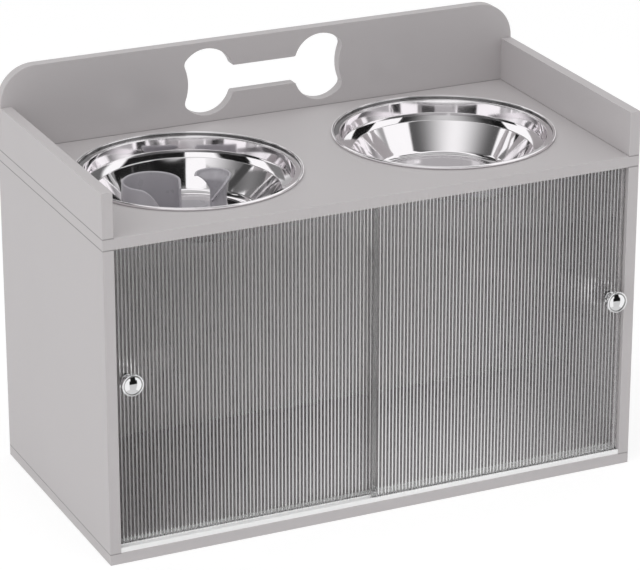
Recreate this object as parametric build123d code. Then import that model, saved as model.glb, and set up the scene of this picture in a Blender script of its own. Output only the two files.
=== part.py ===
from build123d import *
import math
import os

# Raised dog feeder: a low cabinet with two bowls let into its top, a rail round three
# sides of the feeding surface and a store behind two sliding doors.
#
# Origin: middle of the underside, on the floor. +X to the right as one faces the doors,
# +Y to the back, +Z up. All lengths are in millimetres.

# ---- Cabinet boards ----
case_width = 600.0  # outside, side to side
case_depth = 300.0  # front edge to rear edge
feeding_height = 352.0  # floor to the upper face of the top board
board = 12.0  # thickness of every laminated board
edge_round = 0.5  # eased edges of the boards
guard_height = 48.0  # side rails above the top board
splash_height = 90.0  # rear board above the top board
splash_corner = 40.0  # radius of its two upper corners

# ---- Back panel ----
back_sheet = 3.0  # thickness
back_inset = 14.0  # from the rear edges of the boards to the panel
back_groove = 4.0  # depth of the grooves it sits in
back_play = 0.1  # between the panel and each groove wall
back_end_gap = 0.5  # between its edges and the groove bottoms, except where it stands

# ---- Bone-shaped cut-out in the rear board ----
bone_length = 185.0
bone_height = 74.6
bone_shaft = 29.6  # height of the middle
bone_crown = 31.3  # radius of the four knuckles
bone_knuckle = 25.5  # from the end of the bone to the middle of a knuckle's crown
bone_corner = 8.0  # radius of the knuckles' outer corners
bone_hollow = 3.9  # depth of the hollow in each end
bone_fillet = 2.5  # where the knuckles meet the middle

# ---- Bowls ----
bowl_sheet = 0.8  # steel thickness
bowl_rim = 119.5  # outer radius of the rolled bead
bowl_bead = 1.7  # radius of the bead's section
bowl_mouth = 110.0  # inner radius at the top of the wall
band_foot = 107.5  # inner radius at the foot of the upright band
band_drop = 14.3  # flange to the foot of the band
ledge_radius = 96.5  # inner radius at the inner edge of the ledge
ledge_drop = 5.0  # fall of the ledge
bowl_foot = 77.5  # inner radius where the wall meets the floor
bowl_depth = 52.8  # flange to the inner floor
bowl_bend = 1.5  # tightest bend in the sheet
bowl_floor_bend = 10.0  # bend between the wall and the floor
bowl_hole_play = 1.2  # between the bowl's wall and its hole in the top board
bowl_spread = 3.0  # each bowl stands this far outside the middle of its half

# ---- Slow feeder insert in the left bowl ----
insert_plate = 3.0  # thickness of its round plate
insert_radius = 50.0
rib_wall = 3.0  # thickness of the two curled ribs
rib_height = 45.0  # bowl floor to the top of the ribs
left_rib_radius = 29.5
left_rib_x = -38.0  # centre of the left curl from the bowl's axis
left_rib_y = 8.0
left_rib_arc = (-22.0, 265.0)  # from one end of the rib to the other, degrees
left_rib_fall = (250.0, 25.0, 50.0)  # direction, distance from the centre and slope of its low end
right_rib_radius = 18.0
right_rib_x = 28.0
right_rib_y = 2.0
right_rib_arc = (-115.0, 149.0)
right_rib_fall = (240.0, 5.0, 58.0)
right_rib_lean = 4.0  # its foot stands this far inside its top
tip_foot = 5.0  # from the right curl's centre to where its tip starts to reach out
tip_rise = 21.0  # height of that place

# ---- Doors and tracks ----
door_sheet = 3.8  # thickness behind the flutes
flute_height = 1.2
flute_pitch = 4.0
door_margin = 4.0  # least plain strip beside the flutes
door_overlap = 10.0  # of the two closed doors in the middle
door_end_play = 0.5  # between a closed door and its side panel
door_bite = 3.0  # height of a door inside the upper track
track_play = 0.6  # between a door and each wall of its groove
track_wall = 1.8  # lips and middle wall
track_floor = 1.5
lower_track_height = 5.0
upper_track_height = 8.0
track_setback = 1.0  # from the front edge of the boards
track_round = 0.4  # rounding of the lips

# ---- Knobs ----
knob_radius = 11.5
knob_reach = 16.0  # door to the crest of the rim
knob_head = 4.5  # thickness of the head at its rim
knob_rim = 1.6  # width of the rim
knob_groove = 0.8  # depth of the groove inside the rim
knob_dome = 0.9  # height of the domed face above the rim's crest
knob_stem = 4.5  # radius
knob_foot = 7.0  # radius of the foot on the door
knob_foot_height = 1.5
knob_flare = 1.0  # height of the stem's flare at the foot and under the head
knob_inset = 15.2  # from the side panel's inner face to the knob's axis
knob_level = 195.0  # height of the knob's axis

# ---- Knob screws ----
knob_screw = 2.0  # radius of the thread
knob_screw_bite = 8.0  # length inside the knob
knob_screw_head = 3.8  # radius of the head
knob_screw_head_height = 1.9
knob_hole_play = 0.3  # round the screw in the door
knob_washer = 4.8  # outer radius of the washer
knob_washer_sheet = 0.6

# ---- Wood screws, all of one kind ----
screw_radius = 1.75
screw_length = 34.0
screw_head = 3.5
screw_tip = 4.0  # length of the point
screw_end_gap = 1.0  # between a screw's point and the bottom of its hole
recess_width = 0.9  # cross recess in the screw heads and cams
recess_depth = 1.2
fixing_play = 0.05  # round every screw, dowel, bolt and cam

# ---- Dowels ----
dowel_radius = 3.0
dowel_length = 24.0
dowel_cover = 4.0  # wood left beyond a dowel's end in a board's face
dowel_chamfer = 0.6
dowel_end_gap = 0.5

# ---- Cam locks and their bolts ----
cam_radius = 6.0
cam_drop = 24.0  # from the top of a side panel to the cam's axis
cam_bolt_thread = 2.5  # radius
cam_bolt_cover = 4.0  # wood left beyond the thread
cam_bolt_shank = 2.0
cam_bolt_head = 2.8
cam_bolt_head_height = 4.0
cam_bore_play = 0.4  # round the bolt's head

# ---- Places of the fixings along the depth, from the middle of a side panel ----
dowel_place = 60.0
cam_place = 112.0
base_screw_place = 95.0
guard_screw_place = 85.0

# ---- Places of the rear board's screws along the width ----
splash_screw_clear = 35.0  # from the end of the bone to the nearer screw
splash_screw_edge = 60.0  # from the end of the board to the outer screw

# ---- Worked out ----
cut_past = 1.0  # how far a cutter runs past the face it opens
half_width = case_width / 2
half_depth = case_depth / 2
inner_half = half_width - board
under_top = feeding_height - board
side_middle = half_width - board / 2
splash_front = half_depth - board
splash_middle = half_depth - board / 2
bowl_place = inner_half / 2 + bowl_spread
bowl_hole = bowl_mouth + bowl_sheet + bowl_hole_play
bowl_floor = feeding_height + bowl_sheet - bowl_depth
door_thickness = door_sheet + flute_height
track_groove = door_thickness + 2 * track_play
track_depth = 3 * track_wall + 2 * track_groove
track_front = -half_depth + track_setback
door_width = inner_half - door_end_play + door_overlap / 2
door_foot = board + track_floor
door_top = under_top + door_bite
right_door_front = track_front + track_wall + track_play
left_door_front = right_door_front + track_groove + track_wall
dowel_bite = board - dowel_cover
cam_depth = board / 2 + cam_bolt_head + 2 * cam_bore_play
cam_level = under_top - cam_drop
sides = (-1, 1)


def block(x, y, z):
    """A box between two x values, two y values and two z values."""
    size = (x[1] - x[0], y[1] - y[0], z[1] - z[0])
    middle = ((x[0] + x[1]) / 2, (y[0] + y[1]) / 2, (z[0] + z[1]) / 2)
    return Pos(*middle) * Box(*size)


def eased_board(x, y, z):
    """A board with all its edges eased."""
    raw = block(x, y, z)
    return fillet(raw.edges(), edge_round)


def rod(start, direction, radius, length):
    """A cylinder that starts at a point and runs along a direction."""
    base = Plane(origin=start, z_dir=direction)
    return base * Cylinder(radius, length, align=(Align.CENTER, Align.CENTER, Align.MIN))


def turned(points):
    """A solid of revolution from corners given as (radius, height)."""
    outline = make_face(Plane.XZ * Polyline(*points, close=True))
    return revolve(outline, Axis.Z)


def upright(piece, places):
    """Copies of a piece that is drawn along +Z, one at each place."""
    return [Pos(*place) * piece for place in places]


# ---- Wood screws ----
def wood_screw():
    """Countersunk screw, head at the origin and flush with it, point upwards."""
    sink = screw_head - screw_radius
    body = turned(
        [
            (0, 0),
            (screw_head, 0),
            (screw_radius, sink),
            (screw_radius, screw_length - screw_tip),
            (0, screw_length),
        ]
    )
    arm = screw_head
    recess = block((-arm / 2, arm / 2), (-recess_width / 2, recess_width / 2), (0, recess_depth))
    return body - recess - Rot(0, 0, 90) * recess


def wood_screw_hole():
    """The room that a wood screw takes up, with its play."""
    sink = screw_head - screw_radius
    wide = screw_head + fixing_play
    narrow = screw_radius + fixing_play
    deep = screw_length + screw_end_gap
    return turned([(0, 0), (wide, 0), (narrow, sink), (narrow, deep), (0, deep)])


def base_screw_places():
    ys = (-base_screw_place, 0, base_screw_place)
    return [(side * side_middle, y, 0) for side in sides for y in ys]


def guard_screw_places():
    ys = (-guard_screw_place, guard_screw_place)
    return [(side * side_middle, y, under_top) for side in sides for y in ys]


def splash_screw_places():
    inner = bone_length / 2 + splash_screw_clear
    outer = half_width - splash_screw_edge
    return [(side * x, splash_middle, under_top) for side in sides for x in (inner, outer)]


# ---- Dowels between the side panels and the boards above and below ----
def dowel():
    pin = Cylinder(dowel_radius, dowel_length, align=(Align.CENTER, Align.CENTER, Align.MIN))
    ends = pin.edges().filter_by(GeomType.CIRCLE)
    return chamfer(ends, dowel_chamfer)


def dowel_hole():
    room = dowel_length + 2 * dowel_end_gap
    return rod((0, 0, -dowel_end_gap), (0, 0, 1), dowel_radius + fixing_play, room)


def dowel_places():
    low = board - dowel_bite
    high = under_top + dowel_bite - dowel_length
    ys = (-dowel_place, dowel_place)
    return [(side * side_middle, y, z) for side in sides for y in ys for z in (low, high)]


# ---- Cam locks between the side panels and the top board ----
def cam_places():
    return [(side, y) for side in sides for y in (-cam_place, cam_place)]


def cam_bolt(side, y):
    """Screwed into the top board, with its head inside the cam."""
    thread = board - cam_bolt_cover
    top = (side * side_middle, y, under_top + thread)
    length = thread + cam_drop + cam_bolt_head_height / 2
    head_top = (side * side_middle, y, cam_level + cam_bolt_head_height / 2)
    shank = rod(top, (0, 0, -1), cam_bolt_shank, length)
    screwed = rod(top, (0, 0, -1), cam_bolt_thread, thread)
    head = rod(head_top, (0, 0, -1), cam_bolt_head, cam_bolt_head_height)
    return shank + screwed + head


def cam_bolt_room(side, y):
    """The bore down through a side panel's end, and the threaded hole above it."""
    bore = cam_bolt_head + cam_bore_play
    joint = (side * side_middle, y, under_top)
    down = rod(joint, (0, 0, -1), bore, cam_drop + cam_bolt_head_height / 2 + cam_bore_play)
    up = rod(joint, (0, 0, 1), cam_bolt_thread + fixing_play, board - cam_bolt_cover + fixing_play)
    return down + up


def cam_lock(side, y):
    """A round cam let in from the panel's inner face, flush with it."""
    face = (side * inner_half, y, cam_level)
    drum = rod(face, (side, 0, 0), cam_radius, cam_depth)
    depths = sorted((side * inner_half, side * (inner_half + recess_depth)))
    half_arm = cam_radius / 2
    half_slot = recess_width / 2
    slot = block(depths, (y - half_arm, y + half_arm), (cam_level - half_slot, cam_level + half_slot))
    cross = block(depths, (y - half_slot, y + half_slot), (cam_level - half_arm, cam_level + half_arm))
    return drum - slot - cross - cam_bolt_room(side, y)


def cam_hole(side, y):
    face = (side * inner_half, y, cam_level)
    return rod(face, (side, 0, 0), cam_radius + fixing_play, cam_depth + fixing_play)


# ---- Boards ----
def back_groove_room():
    """The grooves for the back panel, as one slab that is cut from four boards."""
    rear = half_depth - back_inset + back_play
    front = half_depth - back_inset - back_sheet - back_play
    reach = inner_half + back_groove
    return block((-reach, reach), (front, rear), (board - back_groove, under_top + back_groove))


def back_panel():
    rear = half_depth - back_inset
    reach = inner_half + back_groove - back_end_gap
    top = under_top + back_groove - back_end_gap
    return block((-reach, reach), (rear - back_sheet, rear), (board - back_groove, top))


def bottom_board():
    raw = eased_board((-half_width, half_width), (-half_depth, half_depth), (0, board))
    raw -= back_groove_room()
    raw -= upright(wood_screw_hole(), base_screw_places())
    raw -= upright(dowel_hole(), dowel_places())
    return raw


def side_panel(side):
    x = sorted((side * inner_half, side * half_width))
    raw = eased_board(x, (-half_depth, half_depth), (board, under_top))
    raw -= back_groove_room()
    raw -= upright(wood_screw_hole(), base_screw_places())
    raw -= upright(dowel_hole(), dowel_places())
    raw -= [cam_bolt_room(*place) for place in cam_places()]
    raw -= [cam_hole(*place) for place in cam_places()]
    return raw


def top_board():
    raw = eased_board((-half_width, half_width), (-half_depth, half_depth), (under_top, feeding_height))
    raw -= back_groove_room()
    raw -= upper_track_room()
    raw -= upright(wood_screw_hole(), guard_screw_places() + splash_screw_places())
    raw -= upright(dowel_hole(), dowel_places())
    raw -= [cam_bolt_room(*place) for place in cam_places()]
    low = under_top - cut_past
    through = board + 2 * cut_past
    raw -= [rod((side * bowl_place, 0, low), (0, 0, 1), bowl_hole, through) for side in sides]
    return raw


def guard(side):
    x = sorted((side * inner_half, side * half_width))
    raw = eased_board(x, (-half_depth, splash_front), (feeding_height, feeding_height + guard_height))
    raw -= upright(wood_screw_hole(), guard_screw_places())
    return raw


def splash_board():
    outline = Pos(0, splash_height / 2) * Rectangle(case_width, splash_height)
    outline = fillet(outline.vertices().group_by(Axis.Y)[-1], splash_corner)
    outline -= Pos(0, splash_height / 2) * bone_outline()
    face = Plane(origin=(0, half_depth, feeding_height), x_dir=(1, 0, 0), z_dir=(0, -1, 0))
    raw = extrude(face * outline, board)
    rims = raw.faces().filter_by(Axis.Y).edges()
    raw = fillet(rims, edge_round)
    raw -= upright(wood_screw_hole(), splash_screw_places())
    return raw


def arc_round(centre, radius, start, end):
    """The shorter arc of a circle between two of its points."""
    return ThreePointArc(start, centre + (start + end - centre * 2).normalized() * radius, end)


def bone_outline():
    """A bar with two knuckles at each end, of arcs that touch one another."""
    shaft_y = bone_shaft / 2
    crown = Vector(bone_length / 2 - bone_knuckle, bone_height / 2 - bone_crown)
    corner_x = bone_length / 2 - bone_corner
    inside = bone_crown - bone_corner
    corner = Vector(corner_x, crown.Y + math.sqrt(inside**2 - (corner_x - crown.X) ** 2))
    end_x = bone_length / 2 - bone_hollow
    hollow_radius = ((end_x - corner_x) ** 2 + corner.Y**2 - bone_corner**2) / (2 * bone_hollow)
    hollow = Vector(end_x + hollow_radius, 0)
    waist_y = shaft_y + bone_fillet
    waist_x = crown.X - math.sqrt((bone_crown + bone_fillet) ** 2 - (waist_y - crown.Y) ** 2)
    waist = Vector(waist_x, waist_y)
    shaft_end = Vector(waist_x, shaft_y)
    waist_touch = crown + (waist - crown).normalized() * bone_crown
    corner_touch = crown + (corner - crown).normalized() * bone_crown
    hollow_touch = corner + (hollow - corner).normalized() * bone_corner
    quarter = [
        Line(Vector(0, shaft_y), shaft_end),
        arc_round(waist, bone_fillet, shaft_end, waist_touch),
        arc_round(crown, bone_crown, waist_touch, corner_touch),
        arc_round(corner, bone_corner, corner_touch, hollow_touch),
        arc_round(hollow, hollow_radius, hollow_touch, Vector(end_x, 0)),
    ]
    right = quarter + [mirror(edge, Plane.XZ) for edge in quarter]
    whole = right + [mirror(edge, Plane.YZ) for edge in right]
    return make_face(whole)


# ---- Bowls ----
def offset_corners(corners, distance):
    """Corners of the same path, shifted sideways by a distance on its left-hand side."""
    shifted = []
    for index, corner in enumerate(corners):
        before = corner - corners[index - 1] if index > 0 else corners[1] - corner
        after = corners[index + 1] - corner if index < len(corners) - 1 else before
        left_before = before.normalized().rotate(Axis.Z, 90)
        left_after = after.normalized().rotate(Axis.Z, 90)
        both = (left_before + left_after).normalized()
        shifted.append(corner + both * (distance / both.dot(left_before)))
    return shifted


def bowl():
    """Stepped bowl of one sheet with a bead at its rim, its flange resting at height 0."""
    flange = bowl_sheet
    inner = [
        Vector(bowl_rim - bowl_bead, flange),
        Vector(bowl_mouth, flange),
        Vector(band_foot, flange - band_drop),
        Vector(ledge_radius, flange - band_drop - ledge_drop),
        Vector(bowl_foot, flange - bowl_depth),
        Vector(0, flange - bowl_depth),
    ]
    outer = offset_corners(inner, bowl_sheet)
    outside_bend = bowl_bend + bowl_sheet
    inner_bends = [outside_bend, bowl_bend, outside_bend, bowl_floor_bend]
    outer_bends = [bowl_bend, outside_bend, bowl_bend, bowl_floor_bend + bowl_sheet]
    section = make_face(
        [
            FilletPolyline(*inner, radius=inner_bends),
            FilletPolyline(*outer, radius=outer_bends),
            Line(inner[0], outer[0]),
            Line(inner[-1], outer[-1]),
        ]
    )
    shell = revolve(Plane.XZ * section, Axis.Z)
    bead = Pos(0, 0, bowl_bead) * Torus(bowl_rim - bowl_bead, bowl_bead)
    return shell + bead


def placed_bowl(side):
    return Pos(side * bowl_place, 0, feeding_height) * bowl()


# ---- Slow feeder insert ----
def rib(radius, lean, arc, fall):
    """A curled rib round the origin: rounded on top, and low at the end its fall points to."""
    half = rib_wall / 2
    foot = Vector(radius - lean, half)
    top = Vector(radius, rib_height - half)
    along = (top - foot).normalized()
    across = along.rotate(Axis.Z, 90) * half
    section = make_face(
        [
            Polyline(top + across, foot + across, foot - across, top - across),
            ThreePointArc(top - across, top + along * half, top + across),
        ]
    )
    curl = revolve(Plane.XZ * section, Axis.Z, revolution_arc=arc[1] - arc[0])
    direction, distance, slope = fall
    reach = 4 * radius
    above = Box(reach, 2 * reach, reach, align=(Align.MIN, Align.CENTER, Align.MIN))
    cut = Rot(0, 0, direction) * Pos(distance, 0, rib_height) * Rot(0, slope, 0) * above
    return Rot(0, 0, arc[0]) * curl - cut


def tip_room():
    """Room behind and under the reaching tip of the right rib."""
    reach = right_rib_radius + rib_wall
    side = Polyline((-reach, 0), (tip_foot, 0), (tip_foot, tip_rise), (-reach, rib_height), close=True)
    return extrude(Plane.XZ * make_face(side), -reach)


def slow_feeder_insert():
    plate = Cylinder(insert_radius, insert_plate, align=(Align.CENTER, Align.CENTER, Align.MIN))
    left = rib(left_rib_radius, 0, left_rib_arc, left_rib_fall)
    right = rib(right_rib_radius, right_rib_lean, right_rib_arc, right_rib_fall) - tip_room()
    curls = Pos(left_rib_x, left_rib_y, 0) * left + Pos(right_rib_x, right_rib_y, 0) * right
    return Pos(-bowl_place, 0, bowl_floor) * (plate + curls)


# ---- Tracks ----
def track_grooves(z):
    """The two grooves of a track between two heights, the front one first."""
    front = track_front + track_wall
    rear = front + track_groove + track_wall
    x = (-inner_half, inner_half)
    return [block(x, (y, y + track_groove), z) for y in (front, rear)]


def track_bar(z):
    return block((-inner_half, inner_half), (track_front, track_front + track_depth), z)


def lower_track():
    top = board + lower_track_height
    bar = track_bar((board, top)) - track_grooves((board + track_floor, top))
    lips = bar.edges().filter_by(Axis.X).group_by(Axis.Z)[-1]
    return fillet(lips, track_round)


def upper_track_room():
    return track_bar((under_top, under_top + upper_track_height))


def upper_track():
    ceiling = under_top + upper_track_height - track_floor
    return upper_track_room() - track_grooves((under_top, ceiling))


# ---- Doors ----
def fluted_outline():
    """Plan of a door: plain back at y = door_thickness, flutes towards y = 0."""
    count = int((door_width - 2 * door_margin) / flute_pitch)
    first = -count * flute_pitch / 2
    half = door_width / 2
    edges = []
    for index in range(count):
        start = first + index * flute_pitch
        crest = (start + flute_pitch / 2, 0)
        edges.append(ThreePointArc((start, flute_height), crest, (start + flute_pitch, flute_height)))
    last = first + count * flute_pitch
    edges.append(Polyline((last, flute_height), (half, flute_height), (half, door_thickness)))
    edges.append(Line((half, door_thickness), (-half, door_thickness)))
    edges.append(Polyline((-half, door_thickness), (-half, flute_height), (first, flute_height)))
    return make_face(edges)


def door(side, front):
    middle = side * (inner_half - door_end_play - door_width / 2)
    slab = extrude(Pos(middle, front, door_foot) * fluted_outline(), door_top - door_foot)
    start = (knob_x(side), front - cut_past, knob_level)
    through = door_thickness + 2 * cut_past
    return slab - rod(start, (0, 1, 0), knob_screw + knob_hole_play, through)


# ---- Knobs and what holds them ----
def knob_x(side):
    return side * (inner_half - knob_inset)


def knob(side, front):
    """Mushroom knob on a round foot: rolled rim, groove and a domed face."""
    neck = knob_reach - knob_head
    face = knob_radius - knob_rim
    rim_half = knob_rim / 2
    body = turned(
        [
            (0, 0),
            (knob_foot, 0),
            (knob_foot, knob_foot_height),
            (knob_stem, knob_foot_height + knob_flare),
            (knob_stem, neck - knob_flare),
            (knob_radius - rim_half, neck),
            (knob_radius - rim_half, knob_reach - rim_half),
            (face, knob_reach - knob_groove),
            (0, knob_reach - knob_groove),
        ]
    )
    rim = Pos(0, 0, knob_reach - rim_half) * Torus(knob_radius - rim_half, rim_half)
    band = Pos(0, 0, neck) * Cylinder(
        knob_radius, knob_head - rim_half, align=(Align.CENTER, Align.CENTER, Align.MIN)
    )
    body = body + band + rim
    body += knob_cap(face)
    deep = knob_screw_bite + 2 * cut_past
    body -= rod((0, 0, -cut_past), (0, 0, 1), knob_screw + fixing_play, deep)
    seat = Plane(origin=(knob_x(side), front, knob_level), x_dir=(1, 0, 0), z_dir=(0, -1, 0))
    return seat * body


def knob_cap(face):
    """The domed face: a slice of a ball that stands in the groove."""
    rise = knob_groove + knob_dome
    foot = face - knob_groove
    ball = (foot**2 + rise**2) / (2 * rise)
    base = knob_reach - knob_groove
    slice_box = Pos(0, 0, base) * Box(
        2 * ball, 2 * ball, 2 * rise, align=(Align.CENTER, Align.CENTER, Align.MIN)
    )
    return (Pos(0, 0, base + rise - ball) * Sphere(ball)) & slice_box


def knob_fixing(side, front):
    """The machine screw and its washer, seen from the store."""
    back = front + door_thickness
    washer_seat = (knob_x(side), back, knob_level)
    washer = rod(washer_seat, (0, 1, 0), knob_washer, knob_washer_sheet)
    washer -= rod(washer_seat, (0, 1, 0), knob_screw + fixing_play, knob_washer_sheet)
    head_seat = (knob_x(side), back + knob_washer_sheet, knob_level)
    length = knob_washer_sheet + door_thickness + knob_screw_bite
    head = rod(head_seat, (0, 1, 0), knob_screw_head, knob_screw_head_height)
    head = chamfer(head.edges().filter_by(GeomType.CIRCLE).group_by(Axis.Y)[-1], knob_screw_head_height / 3)
    screw = head + rod(head_seat, (0, -1, 0), knob_screw, length)
    far = head_seat[1] + knob_screw_head_height
    ys = (far - recess_depth, far)
    half_slot = recess_width / 2
    half_arm = knob_screw_head / 2
    level = (knob_level - half_slot, knob_level + half_slot)
    screw -= block((head_seat[0] - half_arm, head_seat[0] + half_arm), ys, level)
    tall = (knob_level - half_arm, knob_level + half_arm)
    screw -= block((head_seat[0] - half_slot, head_seat[0] + half_slot), ys, tall)
    return screw, washer


# ---- All pieces ----
def pieces():
    left_screw, left_washer = knob_fixing(-1, left_door_front)
    right_screw, right_washer = knob_fixing(1, right_door_front)
    return {
        "bottom_board": bottom_board(),
        "left_side_panel": side_panel(-1),
        "right_side_panel": side_panel(1),
        "top_board": top_board(),
        "back_panel": back_panel(),
        "splash_board": splash_board(),
        "left_guard": guard(-1),
        "right_guard": guard(1),
        "lower_track": lower_track(),
        "upper_track": upper_track(),
        "left_door": door(-1, left_door_front),
        "right_door": door(1, right_door_front),
        "left_knob": knob(-1, left_door_front),
        "right_knob": knob(1, right_door_front),
        "left_knob_screw": left_screw,
        "right_knob_screw": right_screw,
        "left_knob_washer": left_washer,
        "right_knob_washer": right_washer,
        "left_bowl": placed_bowl(-1),
        "right_bowl": placed_bowl(1),
        "slow_feeder_insert": slow_feeder_insert(),
        "base_screws": Compound(upright(wood_screw(), base_screw_places())),
        "guard_screws": Compound(upright(wood_screw(), guard_screw_places())),
        "splash_screws": Compound(upright(wood_screw(), splash_screw_places())),
        "carcass_dowels": Compound(upright(dowel(), dowel_places())),
        "cam_bolts": Compound([cam_bolt(*place) for place in cam_places()]),
        "cam_locks": Compound([cam_lock(*place) for place in cam_places()]),
    }


os.makedirs("parts", exist_ok=True)
for name, piece in pieces().items():
    export_step(piece, f"parts/{name}.step")
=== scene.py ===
"""Looks of a raised dog feeder: laminated cabinet, fluted sliding doors, two steel bowls."""

import math

import bpy
import numpy as np
from bpy.props import FloatProperty, FloatVectorProperty, IntProperty, PointerProperty
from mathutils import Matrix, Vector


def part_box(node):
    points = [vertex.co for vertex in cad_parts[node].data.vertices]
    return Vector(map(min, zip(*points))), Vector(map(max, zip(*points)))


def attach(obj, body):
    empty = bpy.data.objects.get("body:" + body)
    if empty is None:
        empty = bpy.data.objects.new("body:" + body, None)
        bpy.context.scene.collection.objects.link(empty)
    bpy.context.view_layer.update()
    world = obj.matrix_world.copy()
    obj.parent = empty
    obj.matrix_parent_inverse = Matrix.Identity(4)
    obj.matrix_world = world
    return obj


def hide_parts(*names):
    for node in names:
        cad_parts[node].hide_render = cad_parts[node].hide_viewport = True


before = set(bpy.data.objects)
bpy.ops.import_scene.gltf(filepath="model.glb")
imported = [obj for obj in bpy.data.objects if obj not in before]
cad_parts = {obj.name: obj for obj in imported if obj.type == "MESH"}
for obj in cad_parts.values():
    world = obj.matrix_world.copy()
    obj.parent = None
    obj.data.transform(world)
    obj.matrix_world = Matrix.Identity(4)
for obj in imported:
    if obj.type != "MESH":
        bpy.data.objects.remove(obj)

bl_info = {
    "name": "Raised Dog Feeder",
    "version": (1, 0, 0),
    "blender": (4, 5, 0),
    "location": "View3D > Sidebar > Feeder",
    "description": "Dresses the packed feeder: laminate, fluted doors, bowls, insert, knobs and stage",
    "category": "Add Mesh",
}

MM = 0.001
FULL_TURN = 2 * math.pi


# ---- Meshes from whole arrays ----
# A shape is a pair: its points (n, 3) in millimetres, and a list of face arrays (m, corners).
def mesh_object(name, *shapes, sharp=30.0):
    """One object from shapes laid end to end, smooth but for edges past an angle."""
    offsets = np.cumsum([0] + [len(points) for points, _ in shapes])
    points = np.concatenate([points for points, _ in shapes])
    faces = [part + offset for (_, parts), offset in zip(shapes, offsets) for part in parts]
    corners = np.concatenate([part.reshape(-1) for part in faces]).astype(np.int32)
    sizes = np.concatenate([np.full(len(part), part.shape[1]) for part in faces])
    starts = np.concatenate([[0], np.cumsum(sizes)[:-1]]).astype(np.int32)
    mesh = bpy.data.meshes.new(name)
    mesh.vertices.add(len(points))
    mesh.vertices.foreach_set("co", (points * MM).astype(np.float32).ravel())
    mesh.loops.add(len(corners))
    mesh.loops.foreach_set("vertex_index", corners)
    mesh.polygons.add(len(starts))
    mesh.polygons.foreach_set("loop_start", starts)
    mesh.polygons.foreach_set("use_smooth", np.ones(len(starts), bool))
    mesh.update(calc_edges=True)
    if mesh.validate():
        raise RuntimeError(f"{name} has a face that Blender can't keep")
    mesh.set_sharp_from_angle(angle=math.radians(sharp))
    made = bpy.data.objects.new(name, mesh)
    bpy.context.collection.objects.link(made)
    return made


def grid_faces(rows, columns, close_columns=False):
    """Quads of a grid whose point (i, j) has index i * columns + j; each row may close on itself."""
    i = np.arange(rows - 1)[:, None]
    j = np.arange(columns if close_columns else columns - 1)[None, :]
    here, ahead = i * columns, (i + 1) * columns
    beside = (j + 1) % columns
    corners = (here + j, ahead + j, ahead + beside, here + beside)
    return np.stack(np.broadcast_arrays(*corners), axis=-1).reshape(-1, 4)


def fan_faces(centre, ring, turned_over=False):
    """Triangles from one point to each side of a closed ring of points."""
    around = np.roll(ring, -1)
    pair = (around, ring) if turned_over else (ring, around)
    return np.stack([np.full(len(ring), centre), *pair], axis=-1)


def bent_path(corners, radii, steps, edge=0.2):
    """Straight runs between corners, with an arc that touches both runs in place of each inner corner.

    One more point at a small distance before and after each arc keeps the shading of the runs flat."""
    corners = np.asarray(corners, float)
    out = [corners[:1]]
    for before, corner, after, radius in zip(corners[:-2], corners[1:-1], corners[2:], radii):
        back = (before - corner) / np.linalg.norm(before - corner)
        on = (after - corner) / np.linalg.norm(after - corner)
        half = math.acos(float(np.clip(back @ on, -1, 1))) / 2
        middle = (back + on) / np.linalg.norm(back + on)
        centre = corner + middle * radius / math.sin(half)
        touch = radius / math.tan(half)
        first = corner + back * touch - centre
        last = corner + on * touch - centre
        start = math.atan2(first[1], first[0])
        sweep = (math.atan2(last[1], last[0]) - start + math.pi) % FULL_TURN - math.pi
        angles = start + sweep * np.linspace(0, 1, steps + 1)
        arc = centre + radius * np.stack([np.cos(angles), np.sin(angles)], axis=-1)
        out += [[corner + back * (touch + edge)], arc, [corner + on * (touch + edge)]]
    out.append(corners[-1:])
    return np.concatenate(out)


def turned_shape(profile, steps, place=(0, 0, 0), lay=None):
    """Turns a profile (radius, height) round an axis: x = r cos a, y = r sin a, z = h.

    The profile runs up from the axis and back to it, so its first and last points are poles. lay is a
    matrix that turns the finished shape."""
    ring = profile[1:-1]
    angles = np.arange(steps) * FULL_TURN / steps
    x = ring[:, :1] * np.cos(angles)
    y = ring[:, :1] * np.sin(angles)
    z = np.broadcast_to(ring[:, 1:], x.shape)
    body = np.stack([x, y, z], axis=-1).reshape(-1, 3)
    poles = np.array([(0, 0, profile[0, 1]), (0, 0, profile[-1, 1])])
    points = np.concatenate([body, poles])
    if lay is not None:
        points = points @ np.asarray(lay, float).T
    first = np.arange(steps)
    last = first + (len(ring) - 1) * steps
    walls = grid_faces(len(ring), steps, close_columns=True)[:, ::-1]
    fans = [fan_faces(len(body), first, turned_over=True), fan_faces(len(body) + 1, last)]
    return points + np.array(place), [walls, *fans]


def level_sheet(name, low, high, height):
    """A level rectangle between two corners (x, y), all in metres."""
    corners = [(low[0], low[1]), (high[0], low[1]), (high[0], high[1]), (low[0], high[1])]
    points = np.array([(*corner, height) for corner in corners])
    return mesh_object(name, (points / MM, [np.array([[0, 1, 2, 3]])]))


# ---- Places from the frame ----
def box_mm(node):
    """The two corners of a CAD node's box, in millimetres."""
    return (np.array(corner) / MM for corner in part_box(node))


def middle_of(node):
    """The middle of a CAD node's box, in metres."""
    low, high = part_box(node)
    return [(a + b) / 2 for a, b in zip(low, high)]


# ---- Node helpers ----
def new_material(name):
    """A material with its output and a Principled shader; returns it, its tree and the shader."""
    made = bpy.data.materials.new(name)
    made.use_nodes = True
    return made, made.node_tree, made.node_tree.nodes["Principled BSDF"]


def feed(tree, value, socket):
    """Gives a socket its value: another socket, a number, a vector or a colour of three parts."""
    if isinstance(value, bpy.types.NodeSocket):
        tree.links.new(value, socket)
    elif socket.type == "RGBA":
        socket.default_value = (*value, 1)
    else:
        socket.default_value = value


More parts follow.
